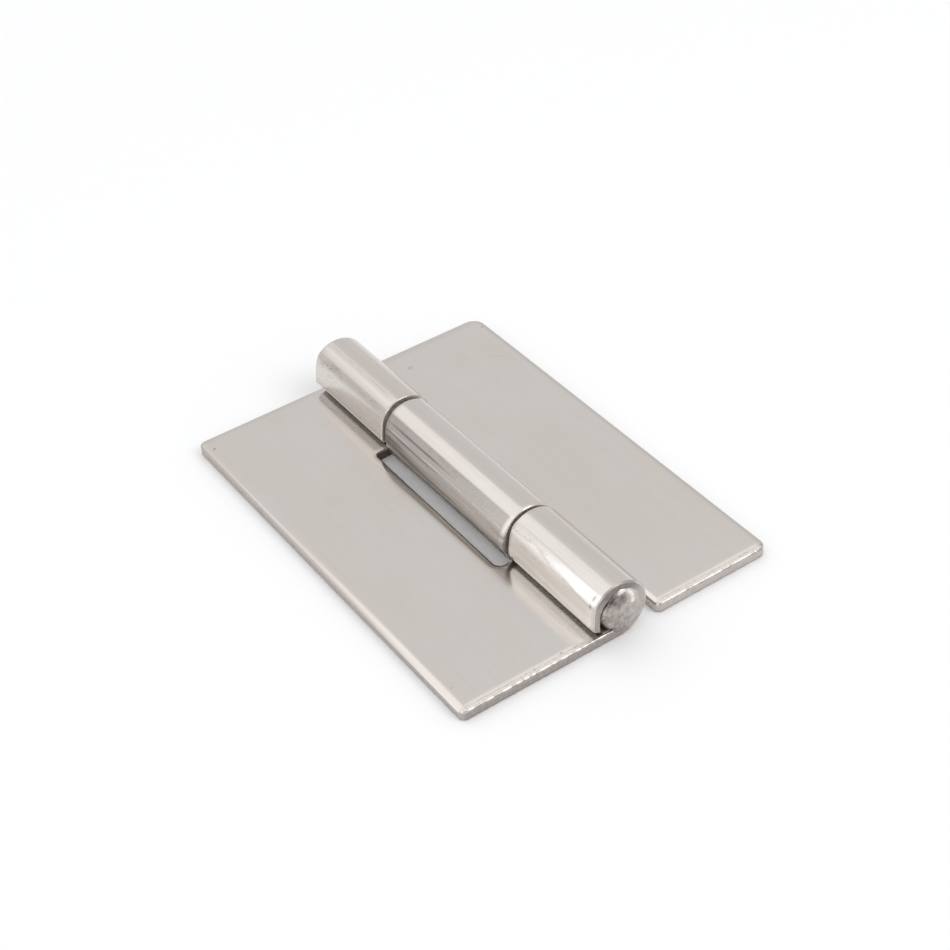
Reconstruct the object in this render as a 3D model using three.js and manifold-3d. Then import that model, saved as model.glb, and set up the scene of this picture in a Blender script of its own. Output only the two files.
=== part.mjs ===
// Weld-on butt hinge of stainless steel, lying fully open.
//
// Two plain leaves are rolled at their inner edges into knuckles. The left leaf carries the
// two end knuckles and the right leaf the centre one. A solid pin runs through all three and
// is held by a bead of weld on each of its ends.
//
// Millimetres, +Z up. The pin runs along Y and the front of the hinge faces -Y. The origin
// lies under the pin axis, at mid-length, on the plane that both leaves rest on.

import * as THREE from 'three';
import { mergeVertices } from 'three/addons/utils/BufferGeometryUtils.js';
import Module from 'manifold-3d';

// Driving dimensions.
const leafLength = 100;
const sheet = 2.5;
const edgeRadius = 0.35;
const barrelRadius = 6.65;
const boreRadius = 4.15;
const pinRadius = 4;
const pinRecess = 0.1;
const pinChamfer = 0.3;
const weldRadius = 4.1;
const weldHeight = 1.1;

// Both leaves are described lying towards -X, with their knuckles rolled about the pin axis.
// The right leaf is then turned half a turn about Z, so its rear end is written here as its
// front, and it stands a little further back: that is the end play of the centre knuckle.
const endPlay = 0.2;
const leftLeaf = {
  width: 35.75,
  front: -leafLength / 2,
  rear: leafLength / 2,
  relief: 8,
  knuckles: [[-leafLength / 2, -22], [22.9, leafLength / 2]],
  frontOuterRadius: 1.5,
  rearOuterRadius: 1.5,
  frontReliefRadius: 2.3,
  rearReliefRadius: 1,
};
const rightLeaf = {
  width: 36.75,
  front: -leafLength / 2 - endPlay,
  rear: leafLength / 2 - endPlay,
  relief: 9.35,
  knuckles: [[-22.1, 21.3]],
  frontOuterRadius: 3,
  rearOuterRadius: 2,
  innerCornerRadius: 1.8,
  reliefRadius: 1,
};

// The rolled sheet leaves the round at rollEnd and runs down, ground flatter, to its lip.
const rollEnd = THREE.MathUtils.degToRad(128);
const lipBend = { x: -5.64, z: 10.68 };
const lipOuter = { x: -5.99, z: 4.86 };
const lipInner = { x: -4.25, z: 4.46 };

// The flat of a leaf ends at seam, and each knuckle starts at overlap, inside that flat.
const seam = -0.5;
const overlap = -1.5;

const arcSegments = 18;
const cornerSegments = 5;
const edgeSegments = 2;
const roundSegments = 48;

const wasm = await Module();
wasm.setup();

function toSolid(geometry) {
  const bare = geometry.index ? geometry.toNonIndexed() : geometry.clone();
  bare.deleteAttribute('normal');
  bare.deleteAttribute('uv');
  const merged = mergeVertices(bare, 1e-4);
  return new wasm.Manifold(new wasm.Mesh({
    numProp: 3,
    vertProperties: new Float32Array(merged.attributes.position.array),
    triVerts: new Uint32Array(merged.index.array),
  }));
}

function toGeometry(solid) {
  const { vertProperties, triVerts } = solid.getMesh();
  const geometry = new THREE.BufferGeometry();
  geometry.setAttribute('position', new THREE.BufferAttribute(vertProperties, 3));
  geometry.setIndex(new THREE.BufferAttribute(triVerts, 1));
  geometry.computeVertexNormals();
  return geometry;
}

// A closed outline through [x, y, radius] corners, each rounded by its own radius.
function roundedOutline(corners) {
  const shape = new THREE.Shape();
  corners.forEach(([x, y, radius], i) => {
    const corner = new THREE.Vector2(x, y);
    const towards = ([otherX, otherY]) => new THREE.Vector2(otherX, otherY)
      .sub(corner).setLength(radius).add(corner);
    const start = towards(corners.at(i - 1));
    const end = towards(corners[(i + 1) % corners.length]);
    if (i === 0) shape.moveTo(start.x, start.y);
    else shape.lineTo(start.x, start.y);
    if (radius > 0) shape.quadraticCurveTo(x, y, end.x, end.y);
  });
  return shape;
}

// A slab of the given outline whose rims are all rounded by edgeRadius.
function softSlab(shape, thickness, curveSegments) {
  const slab = new THREE.ExtrudeGeometry(shape, {
    depth: thickness - 2 * edgeRadius,
    curveSegments,
    bevelEnabled: true,
    bevelThickness: edgeRadius,
    bevelSize: edgeRadius,
    bevelOffset: -edgeRadius,
    bevelSegments: edgeSegments,
  });
  return slab.translate(0, 0, edgeRadius);
}

// The flat of the left leaf: a plate with one wide slot for the centre knuckle.
function leftOutline(leaf) {
  const [frontKnuckle, rearKnuckle] = leaf.knuckles;
  return roundedOutline([
    [-leaf.width, leaf.front, leaf.frontOuterRadius],
    [seam, leaf.front, 0],
    [seam, frontKnuckle[1], 0],
    [-leaf.relief, frontKnuckle[1], leaf.frontReliefRadius],
    [-leaf.relief, rearKnuckle[0], leaf.rearReliefRadius],
    [seam, rearKnuckle[0], 0],
    [seam, leaf.rear, 0],
    [-leaf.width, leaf.rear, leaf.rearOuterRadius],
  ]);
}

// The flat of the right leaf: a plate with one tongue, and a corner cut back at each end.
function rightOutline(leaf) {
  const [[from, to]] = leaf.knuckles;
  return roundedOutline([
    [-leaf.width, leaf.front, leaf.frontOuterRadius],
    [-leaf.relief, leaf.front, leaf.innerCornerRadius],
    [-leaf.relief, from, leaf.reliefRadius],
    [seam, from, 0],
    [seam, to, 0],
    [-leaf.relief, to, leaf.reliefRadius],
    [-leaf.relief, leaf.rear, leaf.innerCornerRadius],
    [-leaf.width, leaf.rear, leaf.rearOuterRadius],
  ]);
}

// One knuckle, seen along the pin: out of the flat, under the pin, up and over it, and down
// to a lip that stops short of the flat.
function knuckle([from, to]) {
  const shape = new THREE.Shape();
  shape.moveTo(overlap, sheet);
  shape.lineTo(overlap, 0);
  shape.absarc(0, barrelRadius, barrelRadius, -Math.PI / 2, rollEnd, false);
  shape.quadraticCurveTo(lipBend.x, lipBend.z, lipOuter.x, lipOuter.z);
  shape.lineTo(lipInner.x, lipInner.z);
  shape.absarc(0, barrelRadius, boreRadius, Math.PI, -Math.PI / 2, true);
  const roll = softSlab(shape, to - from, arcSegments);
  return roll.rotateX(Math.PI / 2).translate(0, to, 0);
}

function rolledLeaf(outline, leaf) {
  const flat = toSolid(softSlab(outline, sheet, cornerSegments));
  return toGeometry(leaf.knuckles.reduce((solid, span) => solid.add(toSolid(knuckle(span))), flat));
}

// A straight rod with chamfered ends, stopping short of both ends of the barrel.
function pin() {
  const half = leafLength / 2 - pinRecess;
  const profile = [
    [0, -half],
    [pinRadius - pinChamfer, -half],
    [pinRadius, -half + pinChamfer],
    [pinRadius, half - pinChamfer],
    [pinRadius - pinChamfer, half],
    [0, half],
  ];
  return new THREE.LatheGeometry(profile.map(([r, y]) => new THREE.Vector2(r, y)), roundSegments);
}

// A low dome of weld metal standing on the end of the pin.
function weldBead() {
  const rim = 0.25;
  const steps = 6;
  const profile = [new THREE.Vector2(0, 0), new THREE.Vector2(weldRadius - rim, 0)];
  for (let i = 0; i <= steps; i += 1) {
    const angle = (i / steps) * Math.PI / 2;
    const height = rim + (weldHeight - rim) * Math.sin(angle);
    profile.push(new THREE.Vector2(weldRadius * Math.cos(angle), height));
  }
  return new THREE.LatheGeometry(profile, roundSegments);
}

const satinSteel = new THREE.MeshStandardMaterial({ color: 0xc8c4be, roughness: 0.35, metalness: 1 });
const turnedSteel = new THREE.MeshStandardMaterial({ color: 0xa9a7a3, roughness: 0.3, metalness: 1 });
const weldMetal = new THREE.MeshStandardMaterial({ color: 0x9b9690, roughness: 0.45, metalness: 1 });

function named(name, geometry, material) {
  const mesh = new THREE.Mesh(geometry, material);
  mesh.name = name;
  return mesh;
}

const hinge = new THREE.Group();

hinge.add(named('left_leaf', rolledLeaf(leftOutline(leftLeaf), leftLeaf), satinSteel));

const right = named('right_leaf', rolledLeaf(rightOutline(rightLeaf), rightLeaf), satinSteel.clone());
right.rotation.z = Math.PI;
hinge.add(right);

const rod = named('hinge_pin', pin(), turnedSteel);
rod.position.z = barrelRadius;
hinge.add(rod);

for (const [name, side] of [['front_weld', -1], ['rear_weld', 1]]) {
  const bead = named(name, weldBead(), weldMetal.clone());
  bead.position.set(0, side * (leafLength / 2 - pinRecess), barrelRadius);
  bead.rotation.x = side < 0 ? Math.PI : 0;
  hinge.add(bead);
}

export default hinge;
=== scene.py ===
"""Weld-on butt hinge of stainless steel, lying fully open on a white table.

Metres, in the frame of the CAD model: the pin runs along Y, the left leaf lies towards -X and
the right leaf towards +X. Each leaf is remade here as one rolled sheet with eased, polished
edges. The pin is turned again at a finer pitch, and the weld beads are sculpted domes.
"""

import math

import bmesh
import bpy
import numpy as np
from mathutils import Matrix, Quaternion, Vector, geometry, noise


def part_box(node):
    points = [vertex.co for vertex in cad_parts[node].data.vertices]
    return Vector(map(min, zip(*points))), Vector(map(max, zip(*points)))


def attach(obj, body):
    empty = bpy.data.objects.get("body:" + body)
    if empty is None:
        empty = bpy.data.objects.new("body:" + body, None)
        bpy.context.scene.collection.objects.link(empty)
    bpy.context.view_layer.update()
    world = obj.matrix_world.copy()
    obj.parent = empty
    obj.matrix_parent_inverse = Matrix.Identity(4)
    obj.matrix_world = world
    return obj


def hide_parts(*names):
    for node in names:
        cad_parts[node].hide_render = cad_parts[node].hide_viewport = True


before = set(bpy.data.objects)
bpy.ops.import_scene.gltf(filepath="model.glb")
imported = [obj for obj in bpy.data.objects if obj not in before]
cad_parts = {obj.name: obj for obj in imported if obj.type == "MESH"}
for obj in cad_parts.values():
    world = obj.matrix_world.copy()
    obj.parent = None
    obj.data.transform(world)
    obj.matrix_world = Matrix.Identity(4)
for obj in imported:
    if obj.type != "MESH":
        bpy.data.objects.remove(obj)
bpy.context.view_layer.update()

MM = 0.001

# ---------------------------------------------------------------------------------------------
# Sizes, from the frame where it holds them.

left_low, left_high = (Vector(corner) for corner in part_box("left_leaf"))
right_low, right_high = (Vector(corner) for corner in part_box("right_leaf"))
pin_low, pin_high = (Vector(corner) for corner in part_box("hinge_pin"))
front_weld_low, _ = (Vector(corner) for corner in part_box("front_weld"))

BARREL_RADIUS = min(left_high.x, left_high.z / 2)
PIN_RADIUS = (pin_high.x - pin_low.x) / 2
LEAF_LENGTH = left_high.y - left_low.y
RIGHT_WIDTH = right_high.x - 0.001 * MM  # so that rounding can't carry it out of its box
SHEET = 2.5 * MM
BORE_RADIUS = BARREL_RADIUS - SHEET

# Seen along the pin, a roll turns up to this angle, counted from the side away from its lip. It
# then runs down, bent outwards, to the lip's outer and inner corners, and the tip is tucked in.
ROLL_END = math.radians(128)
LIP_BEND = (-5.64 * MM, 10.68 * MM)
LIP_OUTER = (-5.99 * MM, 4.86 * MM)
LIP_INNER = (-4.25 * MM, 4.46 * MM)
TUCK_OUTER = (-5.20 * MM, 3.53 * MM)
TUCK_INNER = (-4.05 * MM, 2.95 * MM)

# A leaf is laid out flat: s runs along the middle of the sheet, from the outer edge at -width,
# through 0 under the pin, over the barrel and down to the lip, whose tip is tucked in.
MIDDLE_RADIUS = (BARREL_RADIUS + BORE_RADIUS) / 2
ROUND_LENGTH = MIDDLE_RADIUS * (ROLL_END + math.pi / 2)
LIP_LENGTH = 6.6 * MM
TUCK_LENGTH = 1.2 * MM
LIP_CORNER = 1.2 * MM
LIP_END = ROUND_LENGTH + LIP_LENGTH
SHEET_END = LIP_END + TUCK_LENGTH

# Beside a knuckle of the other leaf, a leaf is cut back to this far from the pin's axis.
LEFT_SETBACK = 7.9 * MM
RIGHT_SETBACK = 9.35 * MM

# Where the knuckles end along the pin.
FRONT_KNUCKLE_REAR = -22.0 * MM
CENTRE_KNUCKLE_FRONT = -21.3 * MM
CENTRE_KNUCKLE_REAR = 22.1 * MM
REAR_KNUCKLE_FRONT = 22.9 * MM


# ---------------------------------------------------------------------------------------------
# The rolled sheet.

def bend_through(start, bend, end, pull, t):
    """A conic from start to end; the stronger the pull, the tighter it turns beside bend."""
    ahead, beside, behind = (1 - t) ** 2, 2 * t * (1 - t) * pull, t ** 2
    return (ahead * start + beside * bend + behind * end) / (ahead + beside + behind)


def smooth(low, high, value):
    """0 below low, 1 above high, and an easy curve between them."""
    t = np.clip((value - low) / (high - low), 0, 1)
    return t * t * (3 - 2 * t)


def roll_angle(s):
    """Degrees around the pin at s: -90 is the bottom, 90 the top and 180 the lip's side."""
    return np.degrees(s / MIDDLE_RADIUS) - 90


def outer_side(s, pull):
    """x and z of the sheet's outer side, which is the underside of the flat."""
    angle = np.clip(s, 0, ROUND_LENGTH) / MIDDLE_RADIUS - math.pi / 2
    x = np.minimum(s, 0) + BARREL_RADIUS * np.cos(angle)
    z = BARREL_RADIUS + BARREL_RADIUS * np.sin(angle)
    start_x = BARREL_RADIUS * math.cos(ROLL_END)
    start_z = BARREL_RADIUS + BARREL_RADIUS * math.sin(ROLL_END)
    t = np.clip((s - ROUND_LENGTH) / LIP_LENGTH, 0, 1)
    tuck = np.clip((s - LIP_END) / TUCK_LENGTH, 0, 1)
    past = s > ROUND_LENGTH
    lip_x = bend_through(start_x, LIP_BEND[0], LIP_OUTER[0], pull, t)
    lip_z = bend_through(start_z, LIP_BEND[1], LIP_OUTER[1], pull, t)
    lip_x = lip_x + tuck * (TUCK_OUTER[0] - LIP_OUTER[0])
    lip_z = lip_z + tuck * (TUCK_OUTER[1] - LIP_OUTER[1])
    return np.where(past, lip_x, x), np.where(past, lip_z, z)


def inner_side(s):
    """x and z of the sheet's inner side: the bore, which runs out straight to the lip."""
    angle = np.clip(s, 0, ROUND_LENGTH) / MIDDLE_RADIUS - math.pi / 2
    bore_arc = BORE_RADIUS * (math.pi - ROLL_END)
    run_out = math.hypot(LIP_INNER[0] + BORE_RADIUS, LIP_INNER[1] - BARREL_RADIUS)
    along = np.clip((s - ROUND_LENGTH) / LIP_LENGTH, 0, 1) * (bore_arc + run_out)
    angle = angle + np.minimum(along, bore_arc) / BORE_RADIUS
    straight = np.clip((along - bore_arc) / run_out, 0, 1)
    tuck = np.clip((s - LIP_END) / TUCK_LENGTH, 0, 1)
    x = np.minimum(s, 0) + BORE_RADIUS * np.cos(angle)
    z = BARREL_RADIUS + BORE_RADIUS * np.sin(angle)
    x = x + straight * (LIP_INNER[0] + BORE_RADIUS) + tuck * (TUCK_INNER[0] - LIP_INNER[0])
    z = z + straight * (LIP_INNER[1] - BARREL_RADIUS) + tuck * (TUCK_INNER[1] - LIP_INNER[1])
    return x, z


def rolled(s, y, height, pull):
    """Points of the sheet: height is 0 on the outer side and SHEET on the inner side."""
    outer_x, outer_z = outer_side(s, pull)
    inner_x, inner_z = inner_side(s)
    share = height / SHEET
    x = outer_x + (inner_x - outer_x) * share
    z = outer_z + (inner_z - outer_z) * share
    return np.stack([x, y, z], axis=1)


# ---------------------------------------------------------------------------------------------
# Eased edges. Each kind of edge has a fillet on either side of the sheet. Inside it the surface
# falls away softly over some reach, as far as the polishing wheel wore it there.

EDGES = {
    "side": {"fillet": 0.42 * MM, "fall": 0.30 * MM, "reach": 2.5 * MM},
    "polished": {"fillet": 0.32 * MM, "fall": 0.22 * MM, "reach": 2.2 * MM},
    "barrel_end": {"fillet": 0.28 * MM, "fall": 0.40 * MM, "reach": 1.2 * MM},
    "slot": {"fillet": 0.35 * MM, "fall": 0.50 * MM, "reach": 1.8 * MM},
    "lip": {"fillet": 0.18 * MM, "fall": 0.00 * MM, "reach": 1.0 * MM},
}
WIDEST_FILLET = max(edge["fillet"] for edge in EDGES.values())
INSETS = [WIDEST_FILLET * (1 - math.cos(math.radians(step))) for step in range(0, 91, 15)]
INSETS += [0.75 * MM, 0.95 * MM, 1.2 * MM, 1.5 * MM, 1.8 * MM, 2.2 * MM, 2.6 * MM]


def fillet_drop(kind, inset):
    """How far the fillet has fallen at this distance in from the outline."""
    radius = EDGES[kind]["fillet"]
    if inset >= radius:
        return 0.0
    return radius - math.sqrt(radius ** 2 - (radius - inset) ** 2)


def wheel_drop(kind, inset):
    """The soft fall where the wheel pressed hardest."""
    edge = EDGES[kind]
    return edge["fall"] * max(0.0, 1 - inset / edge["reach"]) ** 2.5


def outline_loop(corners, inset, s_lines, y_lines):
    """One closed loop of (s, y, fillet drop, wheel drop) points, this far inside an outline.

    A corner is (s, y, radius, kind of the edge that leaves it). Along an edge the points fall on
    the grid lines that cross it."""
    count = len(corners)
    steps = []
    for i, (s, y, _, _) in enumerate(corners):
        ahead = corners[(i + 1) % count]
        length = math.hypot(ahead[0] - s, ahead[1] - y)
        steps.append(np.array([(ahead[0] - s) / length, (ahead[1] - y) / length]))

    def inward(step):
        return np.array([-step[1], step[0]])

    arcs = []
    for i, (s, y, radius, _) in enumerate(corners):
        before, after = steps[i - 1], steps[i]
        convex = before[0] * after[1] - before[1] * after[0] > 0
        bend = max(radius - inset, min(radius, 0.4 * MM)) if convex else radius + inset
        corner = np.array([s, y]) + inset * (inward(before) + inward(after))
        centre = corner + bend * (after - before)
        arcs.append([centre + bend * (before * math.sin(a) - after * math.cos(a))
                     for a in np.linspace(0, math.pi / 2, 9)])

    loop = []
    for i in range(count):
        drops_before = np.array([fillet_drop(corners[i - 1][3], inset),
                                 wheel_drop(corners[i - 1][3], inset)])
        drops_after = np.array([fillet_drop(corners[i][3], inset),
                                wheel_drop(corners[i][3], inset)])
        for step, point in enumerate(arcs[i]):
            share = step / (len(arcs[i]) - 1)
            loop.append((*point, *(drops_before + (drops_after - drops_before) * share)))
        start, end = arcs[i][-1], arcs[(i + 1) % count][0]
        axis = 0 if abs(steps[i][0]) > 0.5 else 1
        lines = s_lines if axis == 0 else y_lines
        low, high = sorted((start[axis], end[axis]))
        inside = [line for line in lines if low + 0.12 * MM < line < high - 0.12 * MM]
        if end[axis] < start[axis]:
            inside.reverse()
        for line in inside:
            point = start.copy()
            point[axis] = line
            loop.append((*point, *drops_after))
    return loop


def inside_outline(corners, s, y, margin):
    """True where a point lies in the outline and at least margin away from every edge of it."""
    crossings = 0
    for i, (s0, y0, _, _) in enumerate(corners):
        s1, y1 = corners[(i + 1) % len(corners)][:2]
        near_s = min(max(s, min(s0, s1)), max(s0, s1))
        near_y = min(max(y, min(y0, y1)), max(y0, y1))
        if math.hypot(s - near_s, y - near_y) < margin:
            return False
        if abs(s0 - s1) < 1e-9 and min(y0, y1) <= y < max(y0, y1) and s0 > s:
            crossings += 1
    return crossings % 2 == 1


def grid_lines(corners):
    """Where the grid's lines cross s and y; they lie closer together on the roll."""
    outer_edge = min(corner[0] for corner in corners)
    ends = [corner[1] for corner in corners]
    flat_lines = np.arange(outer_edge, -0.4 * MM, 1.5 * MM)
    roll_lines = np.linspace(0, SHEET_END, 132)
    return [*flat_lines, *roll_lines], list(np.arange(min(ends), max(ends), 1.25 * MM))


def flat_pattern(corners):
    """A leaf laid out flat, in polygons: s and y of its points, the polygons, both drops of
    every point, and the points of the rim in order."""
    s_lines, y_lines = grid_lines(corners)
    points, fillets, falls, fence = [], [], [], []
    for inset in INSETS:
        loop = outline_loop(corners, inset, s_lines, y_lines)
        first = len(points)
        points += [Vector(point[:2]) for point in loop]
        fillets += [point[2] for point in loop]
        falls += [point[3] for point in loop]
        fence += [(first + i, first + (i + 1) % len(loop)) for i in range(len(loop))]
        if inset == 0:
            rim_length = len(loop)
    margin = INSETS[-1] + 0.3 * MM
    for s in s_lines:
        for y in y_lines:
            if inside_outline(corners, s, y, margin):
                points.append(Vector((s, y)))
                fillets.append(0.0)
                falls.append(0.0)

    flat, _, faces, sources, _, _ = geometry.delaunay_2d_cdt(points, fence, [], 1, 1e-9)
    place = {source: index for index, group in enumerate(sources) for source in group}
    rim = [place[i] for i in range(rim_length)]
    first_source = [source[0] for source in sources]
    s, y = np.array([point[:] for point in flat]).T
    return s, y, faces, np.array(fillets)[first_source], np.array(falls)[first_source], rim


def wall_faces(rows):
    """Quads between closed rows of points, from the lowest row to the highest."""
    quads = []
    for lower, upper in zip(rows, rows[1:]):
        for i in range(len(lower)):
            j = (i + 1) % len(lower)
            quads.append((lower[i], lower[j], upper[j], upper[i]))
    return quads


def sheet_mesh(name, corners, wear, lean, pull):
    """The closed mesh of a leaf, from its flat outline.

    wear(s, y) says how hard the wheel pressed there, from 0 to 1, lean(s, y) how far the rolling
    pushed that place along the pin, and pull(y) how tight the lip's crease is there. The walls
    are the mesh's second material."""
    s, y, faces, fillet, fall, rim = flat_pattern(corners)
    fall = fall * wear(s, y)
    y = y + lean(s, y)

    # The face that was rolled outwards is the barrel's, so the wheel wore the outer side there
    # and the inner side, which faces up, on the flat.
    on_barrel = smooth(0.0, 3 * MM, s)
    top_drop = fillet + fall * (1 - on_barrel)
    bottom_drop = fillet + fall * on_barrel
    tightness = pull(y)
    bottom = rolled(s, y, bottom_drop, tightness)
    top = rolled(s, y, SHEET - top_drop, tightness)
    walls = []
    wall_rows = 4
    for row in range(1, wall_rows):
        share = row / wall_rows
        height = bottom_drop[rim] + (SHEET - top_drop[rim] - bottom_drop[rim]) * share
        walls.append(rolled(s[rim], y[rim], height, tightness[rim]))

    count, rim_length = len(s), len(rim)
    sides = [tuple(reversed(face)) for face in faces]
    sides += [tuple(index + count for index in face) for face in faces]
    rows = [rim]
    rows += [range(start, start + rim_length)
             for start in range(2 * count, 2 * count + len(walls) * rim_length, rim_length)]
    rows += [[index + count for index in rim]]
    vertices = np.concatenate([bottom, top, *walls])
    mesh = bpy.data.meshes.new(name)
    mesh.from_pydata([tuple(vertex) for vertex in vertices], [], sides + wall_faces(rows))
    mesh.shade_smooth()
    for polygon in mesh.polygons[len(sides):]:
        polygon.material_index = 1
    return mesh


# ---------------------------------------------------------------------------------------------
# Materials.

SWIRL_CENTRE = (0.6, 2.4)  # millimetres right of the pin's axis and above it


class Finish:
    """A metal under construction: its node tree, with short ways to add the nodes used here."""

    def __init__(self, name):
        self.material = bpy.data.materials.new(name)
        self.material.use_nodes = True
        self.tree = self.material.node_tree
        self.tree.nodes.clear()
        output = self.node("ShaderNodeOutputMaterial")
        self.shader = self.node("ShaderNodeBsdfPrincipled", Metallic=1.0)
        self.tree.links.new(self.shader.outputs["BSDF"], output.inputs["Surface"])
        self.place = self.node("ShaderNodeTexCoord").outputs["Object"]
        apart = self.node("ShaderNodeSeparateXYZ")
        self.feed(apart.inputs["Vector"], self.place)
        self.x, self.y, self.z = apart.outputs
        self.radius, turn = self.around(0.0, 0.0)
        self.angle = self.maths("FLOORED_MODULO", turn, 360.0)

    def node(self, kind, **values):
        made = self.tree.nodes.new(kind)
        for key, value in values.items():
            if key in made.inputs:
                made.inputs[key].default_value = value
            else:
                setattr(made, key, value)
        return made

    def feed(self, socket, value):
        if isinstance(value, bpy.types.NodeSocket):
            self.tree.links.new(value, socket)
        else:
            socket.default_value = value

    def maths(self, operation, first, second=0.0):
        made = self.node("ShaderNodeMath", operation=operation)
        self.feed(made.inputs[0], first)
        self.feed(made.inputs[1], second)
        return made.outputs["Value"]

    def around(self, x, above_pin):
        """Distance and degrees around a line along the pin, placed in millimetres from it."""
        across = self.maths("SUBTRACT", self.x, x * MM)
        upward = self.maths("SUBTRACT", self.z, BARREL_RADIUS + above_pin * MM)
        square = self.maths("ADD", self.maths("MULTIPLY", across, across),
                            self.maths("MULTIPLY", upward, upward))
        turn = self.maths("ARCTAN2", upward, across)
        return self.maths("SQRT", square), self.maths("MULTIPLY", turn, 180 / math.pi)

    def grain(self, scale, stretch=(1, 1, 1), detail=3.0):
        """Noise around 0.5, with so many cycles to the metre, slowed down along each axis."""
        mapping = self.node("ShaderNodeMapping", Scale=stretch)
        self.feed(mapping.inputs["Vector"], self.place)
        texture = self.node("ShaderNodeTexNoise", Scale=scale, Detail=detail)
        self.feed(texture.inputs["Vector"], mapping.outputs["Vector"])
        return texture.outputs["Fac"]

    def ranged(self, value, from_low, from_high, to_low=0.0, to_high=1.0):
        span = self.node("ShaderNodeMapRange")
        for socket, number in zip(span.inputs, (value, from_low, from_high, to_low, to_high)):
            self.feed(socket, number)
        return span.outputs["Result"]

    def window(self, value, low, high, soft):
        """1 between low and high, falling to 0 over soft on either side."""
        rising = self.ranged(value, low - soft, low + soft)
        falling = self.ranged(value, high - soft, high + soft, 1, 0)
        return self.maths("MULTIPLY", rising, falling)

    def patch(self, angles, stretch_of_y, soft_angle, soft_y):
        """A mask over part of a knuckle, between two angles and two places along the pin."""
        around = self.window(self.angle, *angles, soft_angle)
        along = self.window(self.y, stretch_of_y[0] * MM, stretch_of_y[1] * MM, soft_y * MM)
        near_pin = self.ranged(self.radius, 8.6 * MM, 7.8 * MM)
        return self.product(around, along, near_pin)

    def spot(self, x, y, half_x, half_y):
        """A round mark on the flat, in millimetres."""
        across = self.maths("DIVIDE", self.maths("SUBTRACT", self.x, x * MM), half_x * MM)
        along = self.maths("DIVIDE", self.maths("SUBTRACT", self.y, y * MM), half_y * MM)
        far = self.maths("ADD", self.maths("POWER", self.maths("ABSOLUTE", across), 2.0),
                         self.maths("POWER", self.maths("ABSOLUTE", along), 2.0))
        return self.ranged(far, 0.3, 1.0, 1, 0)

    def scratch(self, start, end):
        """A thin straight scratch on the flat, from point to point, in millimetres."""
        half = math.dist(start, end) / 2
        ahead = [(b - a) / (2 * half) for a, b in zip(start, end)]
        across = self.maths("SUBTRACT", self.x, (start[0] + end[0]) / 2 * MM)
        upward = self.maths("SUBTRACT", self.y, (start[1] + end[1]) / 2 * MM)
        along = self.total(self.product(across, ahead[0]), self.product(upward, ahead[1]))
        aside = self.total(self.product(across, -ahead[1]), self.product(upward, ahead[0]))
        return self.product(self.window(along, -half * MM, half * MM, 0.3 * MM),
                            self.window(aside, -0.06 * MM, 0.06 * MM, 0.06 * MM))

    def product(self, *factors):
        result = factors[0]
        for factor in factors[1:]:
            result = self.maths("MULTIPLY", result, factor)
        return result

    def total(self, *terms):
        result = terms[0]
        for term in terms[1:]:
            result = self.maths("ADD", result, term)
        return result

    def blend(self, share, first, second):
        """A colour between two colours."""
        mix = self.node("ShaderNodeMix", data_type="RGBA")
        for socket, colour in (("A", first), ("B", second)):
            if not isinstance(colour, bpy.types.NodeSocket):
                colour = (*colour, 1)
            self.feed(mix.inputs[socket], colour)
        self.feed(mix.inputs["Factor"], share)
        return mix.outputs["Result"]

    def surface(self, colour, roughness, height):
        self.feed(self.shader.inputs["Base Color"], colour)
        self.feed(self.shader.inputs["Roughness"], roughness)
        relief = self.node("ShaderNodeBump", Strength=1.0, Distance=1.0)
        self.feed(relief.inputs["Height"], height)
        self.feed(self.shader.inputs["Normal"], relief.outputs["Normal"])
        return self.material


class Marks:
    """Masks of where a leaf is stained or painted with shade, grainy, dull or painted with
    shade, and painted with highlights, in lists to add up.
    """

    def __init__(self, metal, patchy):
        self.patchy = patchy
        self.pits = metal.ranged(metal.grain(2200.0, (0.5, 1, 1), detail=2.0), 0.52, 0.62)
        self.on_flat = metal.ranged(metal.z, 2.9 * MM, 2.6 * MM)
        self.stained, self.grainy, self.dull, self.painted_highlight = [], [], [], []


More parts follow.
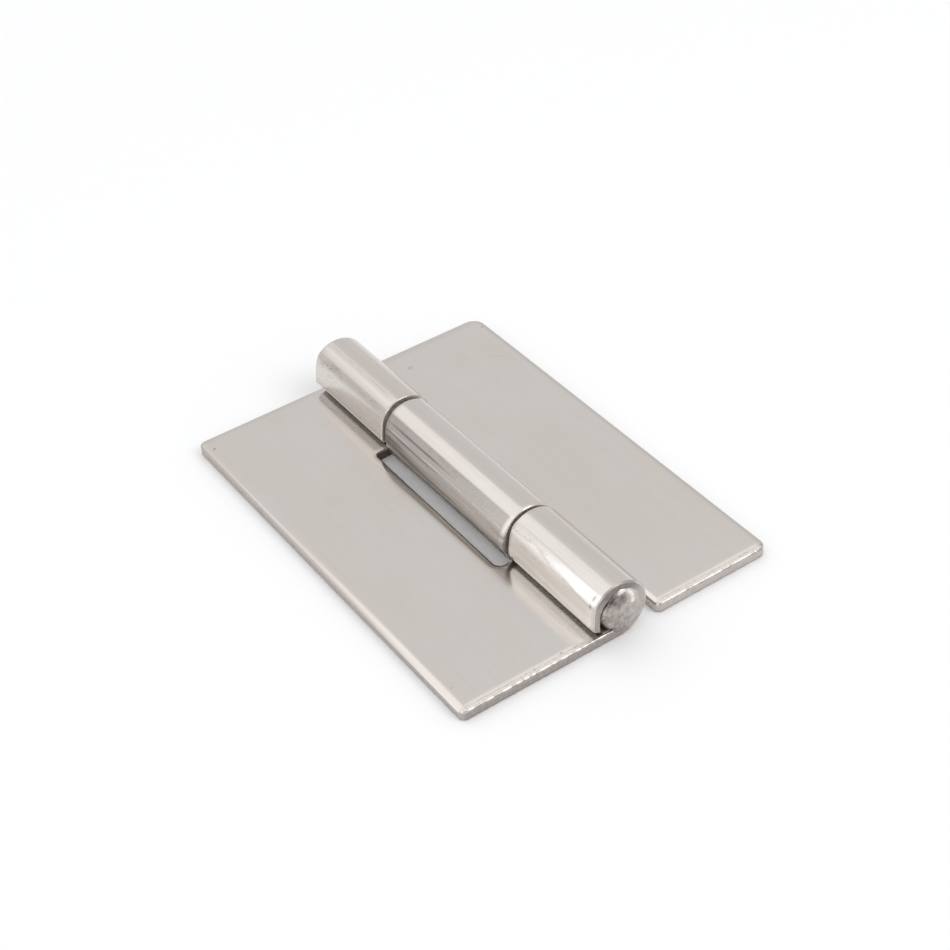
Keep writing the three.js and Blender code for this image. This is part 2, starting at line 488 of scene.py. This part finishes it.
def leaf_finish(name, add_marks):
    """Polished sheet: faint streaks along the pin, clouds of tint, marks of making, and
    painted shade and painted highlights.
    """
    metal = Finish(name)
    clouds = metal.grain(70.0, (1, 0.6, 1))
    streaks = metal.grain(1500.0, (1, 0.03, 1))
    brushed = metal.grain(700.0, (1, 0.10, 1), detail=4.0)
    speckle = metal.grain(2400.0, detail=2.0)
    marks = add_marks(metal)
    stained, grainy, dull, painted_highlight = (
        metal.total(*masks) for masks in (marks.stained, marks.grainy, marks.dull, marks.painted_highlight))
    on_barrel = metal.ranged(metal.z, 3.0 * MM, 4.5 * MM)

    # The hollow beside the barrel, where the flat of the right leaf turns up into the roll.
    # Painted shade: its colour is turned greyer and a little darker there, standing in for
    # the reflections the hollow shows.
    hollow = metal.product(metal.ranged(metal.radius, 9.6 * MM, 8.0 * MM),
                           metal.window(metal.z, 2.4 * MM, 4.0 * MM, 0.2 * MM))
    # Darker where brushed, streaked or grainy, and where the dull masks add painted shade.
    shade = metal.total(
        metal.ranged(brushed, 0.35, 0.65, 0.0, 0.022),
        metal.product(on_barrel, metal.ranged(streaks, 0.35, 0.65, 0.07, 0.12)),
        metal.product(grainy, metal.ranged(speckle, 0.42, 0.58, 0.40, 0.0)),
        metal.product(dull, 0.25))
    colour = metal.blend(metal.ranged(clouds, 0.35, 0.65),
                         (0.676, 0.641, 0.607), (0.672, 0.622, 0.580))
    colour = metal.blend(shade, colour, (0.24, 0.21, 0.20))
    # Painted shade in the hollow beside the barrel.
    colour = metal.blend(metal.product(hollow, 0.8), colour, (0.62, 0.61, 0.60))
    # Painted highlights: a lighter colour where the metal is to look brightly lit.
    colour = metal.blend(painted_highlight, colour, (0.90, 0.87, 0.83))
    # Real stains, and painted shade where those masks stand for it, in near black.
    colour = metal.blend(stained, colour, (0.16, 0.14, 0.13))

    roughness = metal.total(
        metal.ranged(clouds, 0.3, 0.7, 0.14, 0.18),
        metal.ranged(streaks, 0.3, 0.7, -0.02, 0.02),
        metal.product(on_barrel, 0.04),
        metal.product(grainy, 0.10),
        metal.product(dull, 0.06),
        metal.product(stained, 0.2))
    height = metal.total(
        metal.product(streaks, metal.ranged(on_barrel, 0, 1, 0.0006 * MM, 0.0022 * MM)),
        metal.product(speckle, metal.ranged(on_barrel, 0, 1, 0.0004 * MM, 0.0012 * MM)),
        metal.product(speckle, grainy, 0.012 * MM),
        metal.product(stained, -0.01 * MM))
    return metal.surface(colour, roughness, height)


def front_knuckle_marks(metal, marks):
    """Painted highlights above a ragged crease that runs down towards the front, and weaker
    ones below it and under the lip, with a grainy line along the lip below it, a painted
    shadow across the front rim and painted shade along the rim's top."""
    ragged = metal.ranged(metal.grain(500.0, (1, 0.4, 1), detail=5.0), 0.3, 0.7, -4, 4)
    crease = metal.ranged(metal.y, -48 * MM, -30 * MM, 149, 132)
    past_crease = metal.maths("SUBTRACT", metal.maths("ADD", metal.angle, ragged), crease)
    on_front = metal.patch((105, 215), (-49.5, -23), 5, 0.5)
    forward = metal.ranged(metal.y, -24 * MM, -42 * MM, 0.25, 1.0)
    crease_grain = metal.product(metal.window(past_crease, -4, 3, 4), on_front)
    crease_line = metal.product(metal.window(past_crease, 0, 2, 1.5), on_front, marks.patchy)
    # Painted highlight above the crease.
    above_crease = metal.product(metal.ranged(metal.angle, 122.0, 125.5),
                                 metal.ranged(past_crease, 2, -3),
                                 metal.ranged(marks.patchy, 0, 1, 0.7, 1), on_front, forward)
    # Painted highlights below the crease and under the lip.
    below_crease = metal.product(metal.window(past_crease, 1, 45, 3), on_front)
    under_lip = metal.patch((174, 210), (-49, -23), 4, 0.5)
    upper_line = metal.patch((119.0, 121.3), (-41, -24), 1.0, 3)
    lip_line = metal.product(metal.patch((149.5, 153), (-43, -24), 2, 2), marks.patchy)
    # Painted shadow: a grey line across the front rim between the highlights.
    painted_rim_shadow = metal.product(metal.patch((126, 152), (-49.0, -48.4), 4, 0.25), marks.patchy)
    # Painted shade along the top of the front rim.
    front_rim = metal.patch((50, 122), (-51, -49.65), 5, 0.12)

    marks.stained += [metal.product(crease_line, 0.25),
                      metal.product(lip_line, 0.25),
                      metal.product(painted_rim_shadow, 0.60),
                      metal.product(front_rim, 0.50)]
    marks.grainy += [crease_grain]
    marks.dull += [metal.product(upper_line, 0.7)]
    marks.painted_highlight += [metal.product(above_crease, 0.9),
                     metal.product(below_crease, 0.45),
                     metal.product(under_lip, 0.3)]


def rear_knuckle_marks(metal, marks):
    """Dull, pitted and painted with shade below a painted highlight line, with painted shade on
    the rims at the gap.
    """
    side = metal.patch((127, 142), (23, 47), 3, 3)
    # The facet is grainy, with a painted highlight that lifts it.
    facet = metal.patch((148, 186), (23, 50), 5, 1)
    # Painted shade on the rims beside the gap.
    rim = metal.patch((115, 186), (21.5, 23.3), 5, 0.3)
    upper_rim = metal.patch((45, 116), (21.5, 23.05), 5, 0.15)
    pitted = metal.total(metal.patch((129, 137), (24, 49), 2, 2),
                         metal.patch((137, 160), (43, 49.3), 5, 1))
    line = metal.product(metal.patch((102.5, 104.0), (27, 49), 0.8, 1), marks.patchy)
    # Painted highlight along a bright line.
    bright_line = metal.patch((123.0, 125.5), (23, 49), 1.0, 1)
    # Painted shade on a band near the top.
    band = metal.patch((100, 111), (24, 51), 3, 2)

    marks.stained += [metal.product(upper_rim, 0.50),
                      metal.product(pitted, marks.patchy, marks.pits, 0.45),
                      metal.product(line, 0.25)]
    marks.grainy += [metal.product(side, marks.patchy, 0.6), metal.product(facet, 0.8)]
    marks.dull += [metal.product(side, 1.1), rim, metal.product(band, 0.7)]
    marks.painted_highlight += [metal.product(bright_line, 0.25), metal.product(facet, 0.4)]


def left_flat_marks(metal, marks):
    """Spots by the corners, scuffs beside the slot, and worn edges, with painted shade along the
    side and rear edges.
    """
    scuffed = metal.ranged(metal.grain(600.0, (1, 0.1, 1), detail=3.0), 0.52, 0.60)
    front_edge = metal.product(metal.window(metal.y, -49.4 * MM, -48.9 * MM, 0.25 * MM),
                               marks.on_flat)
    # Painted shade along the rear edge.
    rear_edge = metal.product(metal.ranged(metal.y, 48.2 * MM, 49.4 * MM), marks.on_flat)
    crest = metal.product(metal.ranged(metal.y, -49.55 * MM, -49.75 * MM), marks.on_flat)
    # Painted shade along the left side's edge.
    side_edge = metal.product(metal.ranged(metal.x, -34.9 * MM, -35.6 * MM),
                              metal.ranged(metal.y, -42 * MM, -10 * MM))

    marks.stained += [metal.product(metal.spot(-33.86, 46.06, 0.40, 0.30), 0.7),
                      metal.product(metal.spot(-33.57, -43.48, 0.25, 0.25), 0.35),
                      metal.product(metal.spot(-11.0, -48.7, 2.0, 0.35), marks.pits, 0.8),
                      metal.product(metal.spot(-10.0, 16.5, 1.0, 5.0), scuffed, 0.45),
                      metal.product(metal.spot(-8.9, -25.5, 1.2, 3.5), scuffed, 0.20),
                      metal.product(front_edge, marks.pits, 0.22),
                      metal.product(crest, metal.ranged(marks.patchy, 0, 1, 0.15, 0.60))]
    marks.grainy += [metal.product(front_edge, 0.6)]
    marks.dull += [metal.product(front_edge, 0.5),
                   metal.product(rear_edge, 0.5),
                   metal.product(side_edge, 1.4)]


def left_marks(metal):
    """Marks on the left leaf and on its two knuckles."""
    marks = Marks(metal, metal.ranged(metal.grain(800.0, (1, 0.35, 1), detail=5.0), 0.42, 0.58))
    front_knuckle_marks(metal, marks)
    rear_knuckle_marks(metal, marks)
    left_flat_marks(metal, marks)
    return marks


def centre_knuckle_marks(metal, marks):
    """The side over the slot is dull, streaked and painted with shade, more so towards its rear
    end; the underside is painted with shade, and a bright line and the right side with
    highlights.
    """
    wander = metal.ranged(metal.grain(60.0, (1, 0.5, 1)), 0.3, 0.7, -1.5, 1.5)
    angle = metal.maths("ADD", metal.angle, wander)
    rolled_in = metal.ranged(metal.grain(700.0, (1, 0.05, 1)), 0.35, 0.60, 0.35, 1.0)
    rearward = metal.ranged(metal.y, -22 * MM, 22 * MM, 0.8, 1.2)
    # Painted shade over the side above the slot, which is also dull and grainy.
    side = metal.product(metal.patch((123.5, 160), (-21, 22), 1.5, 0.5), rearward)
    first_streak = metal.product(metal.window(angle, 136.5, 140.0, 1.2),
                                 metal.window(metal.y, 1 * MM, 21 * MM, 5 * MM), rolled_in)
    second_streak = metal.product(metal.window(angle, 151.5, 155.0, 1.2),
                                  metal.window(metal.y, 1 * MM, 20 * MM, 6 * MM), rolled_in)
    # Painted shade on the underside, beside the slot.
    shaded_under_side = metal.product(metal.window(angle, 160, 215, 3), rearward, rolled_in)
    # Painted highlight along a bright line, and on the right side.
    bright_line = metal.product(metal.window(angle, 147.6, 149.4, 0.9), marks.patchy,
                                metal.window(metal.y, -21 * MM, 20 * MM, 1 * MM))
    right_side = metal.patch((40, 56), (-21, 14), 5, 6)
    rear_spots = metal.product(metal.patch((142, 175), (18.6, 20.6), 5, 0.4), marks.pits)

    marks.stained += [metal.product(first_streak, 1.35),
                      metal.product(second_streak, 0.90),
                      metal.product(shaded_under_side, 0.90),
                      metal.product(rear_spots, 0.6)]
    marks.grainy += [metal.product(side, marks.patchy, 0.35)]
    marks.dull += [metal.product(side, 1.9)]
    marks.painted_highlight += [metal.product(bright_line, 0.45), metal.product(right_side, 0.30)]


def right_flat_marks(metal, marks):
    """Two spots, a scratch, and worn edges, with painted shade along the side and rear edges."""
    front_edge = metal.product(metal.window(metal.y, -49.2 * MM, -48.7 * MM, 0.25 * MM),
                               marks.on_flat)
    # Painted shade along the rear edge.
    rear_edge = metal.product(metal.ranged(metal.y, 47.7 * MM, 48.9 * MM), marks.on_flat)
    crest = metal.product(metal.ranged(metal.y, -49.35 * MM, -49.55 * MM), marks.on_flat)
    # Painted shade along the right side, with a thin darker band at its edge.
    side_shade = metal.ranged(metal.x, 35.3 * MM, 35.8 * MM)
    side_edge = metal.window(metal.x, 36.0 * MM, 36.4 * MM, 0.15 * MM)

    marks.stained += [metal.product(metal.spot(35.52, 46.14, 0.4, 0.3), 0.35),
                      metal.product(metal.spot(14.26, 43.55, 0.8, 0.7), 0.22),
                      metal.product(metal.scratch((31.3, 35.7), (32.9, 33.8)), 0.35),
                      metal.product(front_edge, marks.pits, 0.28),
                      metal.product(side_edge, 0.12),
                      metal.product(crest, metal.ranged(marks.patchy, 0, 1, 0.15, 0.60))]
    marks.grainy += [metal.product(front_edge, 0.6)]
    marks.dull += [metal.product(front_edge, 0.5),
                   metal.product(rear_edge, 0.4),
                   metal.product(side_shade, 0.4)]


def right_marks(metal):
    """Marks on the right leaf and on the centre knuckle."""
    marks = Marks(metal, metal.ranged(metal.grain(700.0, (1, 0.2, 1), detail=5.0), 0.42, 0.60))
    centre_knuckle_marks(metal, marks)
    right_flat_marks(metal, marks)
    return marks


def sheared_finish():
    """Cut faces: rough and mottled, painted lighter between the knuckles, on the right leaf and
    along the left side, and painted darker at the foot, in the slot's rear pocket and atop the
    front end.
    """
    metal = Finish("sheared_steel")
    mottle = metal.grain(1300.0, detail=5.0)
    scratches = metal.grain(2600.0, (1, 1, 0.12), detail=2.0)
    # Painted light: lighter between the knuckles, on the right leaf and along the left side.
    between = metal.product(metal.window(metal.y, -24 * MM, 25 * MM, 1 * MM),
                            metal.ranged(metal.z, 3 * MM, 4 * MM))
    painted_light = metal.total(metal.product(between, 0.8),
                        metal.product(metal.ranged(metal.x, 3 * MM, 8 * MM), 0.38),
                        metal.product(metal.ranged(metal.x, -35.1 * MM, -35.4 * MM), 0.18))
    colour = metal.blend(metal.ranged(mottle, 0.3, 0.7), (0.46, 0.42, 0.40), (0.36, 0.32, 0.30))
    colour = metal.blend(painted_light, colour, (0.80, 0.75, 0.71))
    # Painted shade in the pocket at the slot's rear end, towards the bottom, and atop the front
    # end.
    pocket = metal.product(metal.window(metal.y, 20 * MM, 23.6 * MM, 0.5 * MM),
                           metal.window(metal.x, -8.8 * MM, -3 * MM, 0.3 * MM),
                           metal.ranged(metal.z, 2.6 * MM, 2.1 * MM))
    foot = metal.ranged(metal.z, 0.8 * MM, 0.1 * MM)
    crown = metal.product(metal.ranged(metal.z, 9.5 * MM, 11.5 * MM),
                          metal.ranged(metal.y, -48 * MM, -49 * MM))
    colour = metal.blend(metal.total(metal.product(foot, 0.28), metal.product(pocket, 0.9),
                                     metal.product(crown, 0.55)),
                         colour, (0.12, 0.10, 0.095))
    roughness = metal.ranged(mottle, 0.3, 0.7, 0.36, 0.48)
    height = metal.total(metal.ranged(scratches, 0, 1, 0, 0.005 * MM),
                         metal.ranged(mottle, 0, 1, 0, 0.006 * MM))
    return metal.surface(colour, roughness, height)


def turned_finish():
    """The pin: turned steel with fine rings around it."""
    metal = Finish("turned_steel")
    rings = metal.grain(900.0, (0.05, 1, 0.05))
    colour = metal.blend(metal.ranged(rings, 0.4, 0.6), (0.55, 0.52, 0.49), (0.46, 0.43, 0.40))
    roughness = metal.ranged(rings, 0.3, 0.7, 0.28, 0.38)
    return metal.surface(colour, roughness, metal.ranged(rings, 0, 1, 0, 0.002 * MM))


def weld_finish():
    """Weld metal: mottled grey, smoother along the swirl's ridge with a painted glint there,
    painted lighter towards the right, and sooty in its hollow and crevice.
    """
    metal = Finish("weld_steel")
    mottle = metal.grain(900.0, detail=6.0)
    crust = metal.grain(2600.0, detail=3.0)
    speckle = metal.ranged(mottle, 0.42, 0.58)
    from_swirl, swirl_angle = metal.around(*SWIRL_CENTRE)
    from_soot, _ = metal.around(-0.4, 3.2)
    # Painted glint along the swirl's ridge, which is also smoother.
    smoother_with_painted_glint = metal.product(metal.window(from_swirl, 2.0 * MM, 2.9 * MM, 0.25 * MM),
                         metal.window(swirl_angle, -40, 110, 15),
                         metal.ranged(mottle, 0.42, 0.56, 1, 0.2))
    soot = metal.product(metal.ranged(from_soot, 0.8 * MM, 2.4 * MM, 1, 0),
                         metal.ranged(mottle, 0.38, 0.60, 0.7, 1))
    crevice = metal.product(metal.ranged(metal.radius, 3.3 * MM, 3.9 * MM),
                            metal.ranged(metal.x, -0.6 * MM, -2.0 * MM), speckle)
    colour = metal.blend(speckle, (0.48, 0.44, 0.41), (0.34, 0.30, 0.28))
    # Painted light: the bead is lighter towards the right.
    colour = metal.blend(metal.product(metal.ranged(metal.x, 0.5 * MM, 3.5 * MM), 0.5),
                         colour, (0.62, 0.58, 0.55))
    colour = metal.blend(metal.total(metal.product(soot, 0.70), metal.product(crevice, 0.8)),
                         colour, (0.10, 0.09, 0.085))
    colour = metal.blend(metal.product(smoother_with_painted_glint, 0.9), colour, (0.92, 0.89, 0.85))
    roughness = metal.total(metal.ranged(mottle, 0.35, 0.65, 0.26, 0.38),
                            metal.product(smoother_with_painted_glint, -0.08))
    height = metal.total(metal.ranged(mottle, 0, 1, 0, 0.028 * MM),
                         metal.ranged(crust, 0, 1, 0, 0.008 * MM))
    return metal.surface(colour, roughness, height)


left_steel = leaf_finish("left_leaf_steel", left_marks)
right_steel = leaf_finish("right_leaf_steel", right_marks)
sheared = sheared_finish()
turned = turned_finish()
welded = weld_finish()


# ---------------------------------------------------------------------------------------------
# Pieces.

def add_piece(name, mesh, body, node_name, slot_name, *materials):
    """Puts a mesh in the scene in place of a node of the frame, on the body that carries it."""
    piece = bpy.data.objects.new(name, mesh)
    bpy.context.scene.collection.objects.link(piece)
    for material in materials:
        mesh.materials.append(material)
    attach(piece, body)
    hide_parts(node_name)


LEFT_BODY = "left_leaf_with_pin"
RIGHT_BODY = "right_leaf_swing"

left_front, left_rear = left_low.y, left_high.y


def left_wear(s, y):
    """The wheel pressed harder on the flat towards the front, and on the front rim's lip side."""
    flat = 0.28 + 0.72 * smooth(0.1, 1.0, 0.5 - y / LEAF_LENGTH)
    lip_side = smooth(100, 150, roll_angle(s))
    rim = np.where(y < -40 * MM, 0.06 + 0.9 * lip_side, 0.06 + 0.15 * lip_side)
    return flat + (rim - flat) * smooth(-1 * MM, 3 * MM, s)


def left_lean(s, y):
    """Both knuckles' inner ends sit a little forward, the rear one only on its upper left."""
    front = 0.65 * smooth(-40 * MM, -22 * MM, y) * (y < 0)
    rear = 0.3 * smooth(42 * MM, 24 * MM, y) * (y > 0) * np.exp(-((roll_angle(s) - 132) / 18) ** 2)
    return -(front + rear) * MM * smooth(-1 * MM, 4 * MM, s)


def left_pull(y):
    """The crease above the lip is tight at the very front and eases towards the rear."""
    return 1.0 + 2.6 * smooth(-22 * MM, -48 * MM, y)


left_corners = [
    (left_low.x, left_front, 1.5 * MM, "polished"),
    (SHEET_END, left_front, LIP_CORNER, "lip"),
    (SHEET_END, FRONT_KNUCKLE_REAR, LIP_CORNER, "barrel_end"),
    (-LEFT_SETBACK, FRONT_KNUCKLE_REAR, 1.6 * MM, "slot"),
    (-LEFT_SETBACK, REAR_KNUCKLE_FRONT, 1.0 * MM, "barrel_end"),
    (SHEET_END, REAR_KNUCKLE_FRONT, LIP_CORNER, "lip"),
    (SHEET_END, left_rear, LIP_CORNER, "polished"),
    (left_low.x, left_rear, 1.5 * MM, "side"),
]
left_mesh = sheet_mesh("left_leaf_sheet", left_corners, left_wear, left_lean, left_pull)
add_piece("left_leaf_sheet", left_mesh, LEFT_BODY, "left_leaf", "leaf_steel", left_steel, sheared)


def right_wear(s, y):
    """As on the left leaf, but turned half a turn, so the front is at the far end of y."""
    flat = 0.30 + 0.70 * smooth(0.1, 0.9, 0.5 + y / LEAF_LENGTH)
    rim = 0.25 + 0.75 * smooth(60, 20, np.abs(roll_angle(s) - 10))
    return flat + (rim - flat) * smooth(-1 * MM, 3 * MM, s)


def right_lean(s, y):
    """The centre knuckle sits a little forward, its rear end mostly on the left leaf's side."""
    angle = roll_angle(s)
    rear = 0.38 * smooth(140, 112, angle) + 1.17 * np.clip(1 - np.abs(angle) / 60, 0, 1) ** 1.5
    along = smooth(-15 * MM, 15 * MM, y)
    return (rear + (0.6 - rear) * along) * MM * smooth(-1 * MM, 4 * MM, s)


def right_pull(y):
    """The centre knuckle's crease is no tighter at one end than at the other."""
    return np.ones_like(y)


# The right leaf is laid out like the left one and then turned half a turn about Z.
right_corners = [
    (-RIGHT_WIDTH, -right_high.y, 3.0 * MM, "polished"),
    (-RIGHT_SETBACK, -right_high.y, 1.8 * MM, "slot"),
    (-RIGHT_SETBACK, -CENTRE_KNUCKLE_REAR, 1.0 * MM, "barrel_end"),
    (SHEET_END, -CENTRE_KNUCKLE_REAR, LIP_CORNER, "lip"),
    (SHEET_END, -CENTRE_KNUCKLE_FRONT, LIP_CORNER, "barrel_end"),
    (-RIGHT_SETBACK, -CENTRE_KNUCKLE_FRONT, 1.0 * MM, "slot"),
    (-RIGHT_SETBACK, -right_low.y, 1.4 * MM, "polished"),
    (-RIGHT_WIDTH, -right_low.y, 2.0 * MM, "polished"),
]
right_mesh = sheet_mesh("right_leaf_sheet", right_corners, right_wear, right_lean, right_pull)
right_mesh.transform(Matrix.Rotation(math.pi, 4, "Z"))
add_piece("right_leaf_sheet", right_mesh, RIGHT_BODY, "right_leaf", "leaf_steel",
          right_steel, sheared)


def finished_mesh(name, bm):
    """The mesh of bm, facing outwards and shaded smooth but for edges sharper than 75 degrees."""
    bmesh.ops.remove_doubles(bm, verts=bm.verts, dist=1e-7)
    bmesh.ops.recalc_face_normals(bm, faces=bm.faces)
    mesh = bpy.data.meshes.new(name)
    bm.to_mesh(mesh)
    bm.free()
    mesh.shade_smooth()
    mesh.set_sharp_from_angle(angle=math.radians(75))
    return mesh


def pin_mesh():
    """The rod, turned about Y, with its ends dressed back so that the beads can bite."""
    segments, dressed, depth = 128, 0.55 * MM, 1.2 * MM
    profile = [(pin_low.y, PIN_RADIUS - dressed), (pin_low.y + depth, PIN_RADIUS)]
    profile += [(y, PIN_RADIUS) for y in np.arange(-46 * MM, 46.5 * MM, 4 * MM)]
    profile += [(pin_high.y - depth, PIN_RADIUS), (pin_high.y, PIN_RADIUS - dressed)]
    bm = bmesh.new()
    turns = [2 * math.pi * i / segments for i in range(segments)]
    rings = [[bm.verts.new((radius * math.cos(a), y, BARREL_RADIUS + radius * math.sin(a)))
              for a in turns] for y, radius in profile]
    for near, far in zip(rings, rings[1:]):
        for i in range(segments):
            j = (i + 1) % segments
            bm.faces.new((near[i], far[i], far[j], near[j]))
    bm.faces.new(rings[0])
    bm.faces.new(reversed(rings[-1]))
    return finished_mesh("pin_rod", bm)


add_piece("pin_rod", pin_mesh(), LEFT_BODY, "hinge_pin", "pin_steel", turned)


def weld_spill(degrees):
    """How far the bead runs out over the knuckle's end at this angle around the pin.

    Up on the right it laps over the bore, and low on the right it is fused out to the rim."""
    def lobe(centre, full, gone):
        """1 within full degrees of centre, falling to 0 at gone."""
        off = abs((degrees - centre + 180) % 360 - 180)
        return smooth(gone, full, off)
    return 0.95 * MM * lobe(45, 38, 85) + 2.20 * MM * lobe(-55, 20, 62)


def weld_height(x, z, share, spill, crown, seed):
    """Height of the bead above its lowest points: a dome with a ridge, a swirl and a pit.

    x and z are measured from the pin's axis, and share is 0 at the middle and 1 at the rim."""
    fused = min(1.0, spill / (1.8 * MM))
    steep = max(0.0, 1 - share ** 5) ** 0.5
    gentle = 1 - share ** 2.2
    dome = crown * (steep + (gentle - steep) * fused) - 0.12 * MM

    across, upward = x - SWIRL_CENTRE[0] * MM, z - SWIRL_CENTRE[1] * MM
    from_swirl = math.hypot(across, upward)
    on_side = max(0, math.cos(math.atan2(upward, across) - 0.6))
    ridge = 0.18 * MM * math.exp(-((from_swirl - 2.5 * MM) / (0.5 * MM)) ** 2) * on_side
    hollow = 0.32 * MM * math.exp(-(from_swirl / (1.6 * MM)) ** 2)
    from_pit = math.hypot(x - 0.1 * MM, z + 0.15 * MM)
    pit = 0.20 * MM * math.exp(-(from_pit / (0.3 * MM)) ** 2)

    radius = math.hypot(x, z)
    swirled = math.atan2(z, x) + radius / (1.6 * MM)
    place = Vector((radius * math.cos(swirled), radius * math.sin(swirled), seed * MM))
    lumps = 0.13 * MM * noise.fractal(place / (1.3 * MM), 0.8, 2.1, 4) * (1 - share ** 6)
    return dome + ridge - hollow - pit + lumps


def weld_mesh(name, side, seed):
    """A domed bead on one end of the pin, closed at the back."""
    rings, segments = 34, 144
    room = abs(front_weld_low.y) - abs(pin_low.y)
    lift = left_high.y - pin_high.y
    crown = room - 0.02 * MM
    rim_radius = PIN_RADIUS - 0.10 * MM
    bm = bmesh.new()
    circles = []
    for ring in range(rings + 1):
        share = math.sin(math.pi / 2 * ring / rings)
        circle = []
        for i in range(segments):
            angle = 2 * math.pi * i / segments
            spill = weld_spill(math.degrees(angle))
            over = min(1.0, spill / (0.4 * MM))
            reach = min(rim_radius + spill + 0.3 * MM * over, BARREL_RADIUS - 0.35 * MM)
            x, z = reach * share * math.cos(angle), reach * share * math.sin(angle)
            lowest = (lift + 0.03 * MM) * over
            height = lowest + weld_height(x, z, share, spill, crown - lowest, seed)
            height = min(max(height, lowest), room)
            circle.append(bm.verts.new((x, side * (pin_high.y + height), BARREL_RADIUS + z)))
        circles.append(circle)
    for near, far in zip(circles, circles[1:]):
        for i in range(segments):
            j = (i + 1) % segments
            bm.faces.new((near[i], near[j], far[j], far[i]))
    hidden = side * (pin_high.y - 0.3 * MM)
    narrowed = 0.97
    back = []
    for vertex in circles[-1]:
        z = BARREL_RADIUS + (vertex.co.z - BARREL_RADIUS) * narrowed
        back.append(bm.verts.new((vertex.co.x * narrowed, hidden, z)))
    for i in range(segments):
        j = (i + 1) % segments
        bm.faces.new((circles[-1][i], circles[-1][j], back[j], back[i]))
    bm.faces.new(back)
    return finished_mesh(name, bm)


for end, side, seed in (("front", -1, 2.0), ("rear", 1, 7.0)):
    bead = weld_mesh(f"{end}_bead", side, seed)
    add_piece(f"{end}_bead", bead, LEFT_BODY, f"{end}_weld", "weld_metal", welded)


# ---------------------------------------------------------------------------------------------
# Camera, table and studio.

AZIMUTH = math.radians(-31.49)
ELEVATION = math.radians(39.53)
ROLL = math.radians(-4.89)
DISTANCE = 0.396
AIM = Vector((3.30, 2.04, 4.20)) * MM
SENSOR_WIDTH, FOCAL_LENGTH = 36, 73.31  # millimetres


def main_camera():
    """The camera, which looks at AIM from the front left and above, and is rolled a little."""
    back = Vector((math.sin(AZIMUTH) * math.cos(ELEVATION),
                   -math.cos(AZIMUTH) * math.cos(ELEVATION),
                   math.sin(ELEVATION)))
    level = Vector((0, 0, 1)).cross(back).normalized()
    upright = back.cross(level)
    across = math.cos(ROLL) * level + math.sin(ROLL) * upright
    upward = -math.sin(ROLL) * level + math.cos(ROLL) * upright
    turn = Matrix((across, upward, back)).transposed().to_4x4()

    camera_data = bpy.data.cameras.new("camera")
    camera_data.sensor_width = SENSOR_WIDTH
    camera_data.lens = FOCAL_LENGTH
    camera_data.clip_start = 0.01
    camera = bpy.data.objects.new("camera", camera_data)
    camera.matrix_world = Matrix.Translation(AIM + DISTANCE * back) @ turn
    bpy.context.scene.collection.objects.link(camera)
    bpy.context.scene.camera = camera


def table():
    """A plain white top for the hinge to lie on."""
    half = 3.0
    mesh = bpy.data.meshes.new("table")
    mesh.from_pydata([(-half, -half, 0), (half, -half, 0), (half, half, 0), (-half, half, 0)],
                     [], [(0, 1, 2, 3)])
    top = bpy.data.objects.new("table", mesh)
    bpy.context.scene.collection.objects.link(top)
    white = bpy.data.materials.new("table_white")
    white.use_nodes = True
    shader = white.node_tree.nodes["Principled BSDF"]
    shader.inputs["Base Color"].default_value = (0.92, 0.92, 0.925, 1)
    shader.inputs["Roughness"].default_value = 0.7
    shader.inputs["Specular IOR Level"].default_value = 0.2
    mesh.materials.append(white)


def softbox(name, centre, size, aim, radiance, diffuse=True, spin=0.0):
    """A rectangular lamp of this radiance, facing aim and spun some degrees about its axis."""
    light = bpy.data.lights.new(name, "AREA")
    light.shape = "RECTANGLE"
    light.size, light.size_y = size
    light.energy = radiance * math.pi * size[0] * size[1]
    lamp = bpy.data.objects.new(name, light)
    lamp.location = centre
    facing = (Vector(aim) - Vector(centre)).to_track_quat("-Z", "Y")
    lamp.rotation_euler = (facing @ Quaternion((0, 0, 1), math.radians(spin))).to_euler()
    lamp.visible_diffuse = diffuse
    bpy.context.scene.collection.objects.link(lamp)


def studio():
    """A pale surround and five soft lamps, three of which show only in reflections."""
    world = bpy.data.worlds.new("studio")
    world.use_nodes = True
    sky = world.node_tree.nodes["Background"]
    sky.inputs["Color"].default_value = (0.99, 0.995, 1.0, 1)
    sky.inputs["Strength"].default_value = 0.86
    bpy.context.scene.world = world
    softbox("overhead", (-0.21, 0.48, 1.0), (0.92, 1.55), (-0.21, 0.48, 0), 0.45)
    softbox("strip", (-0.47, 0.48, 1.0), (0.40, 1.55), (-0.47, 0.48, 0), 0.55, diffuse=False)
    softbox("front", (0.60, 0.0, 1.0), (0.70, 1.30), (0.60, 0.0, 0), 0.4, diffuse=False)
    softbox("left", (-0.9, 0.12, 0.83), (1.57, 1.60), (0, 0.12, 0.83), 0.6, diffuse=False, spin=18)
    softbox("fill", (0.60, -0.90, 1.1), (0.8, 0.8), (0, 0, 0), 2.3)


main_camera()
table()
studio()
bpy.context.scene.view_settings.view_transform = "Standard"
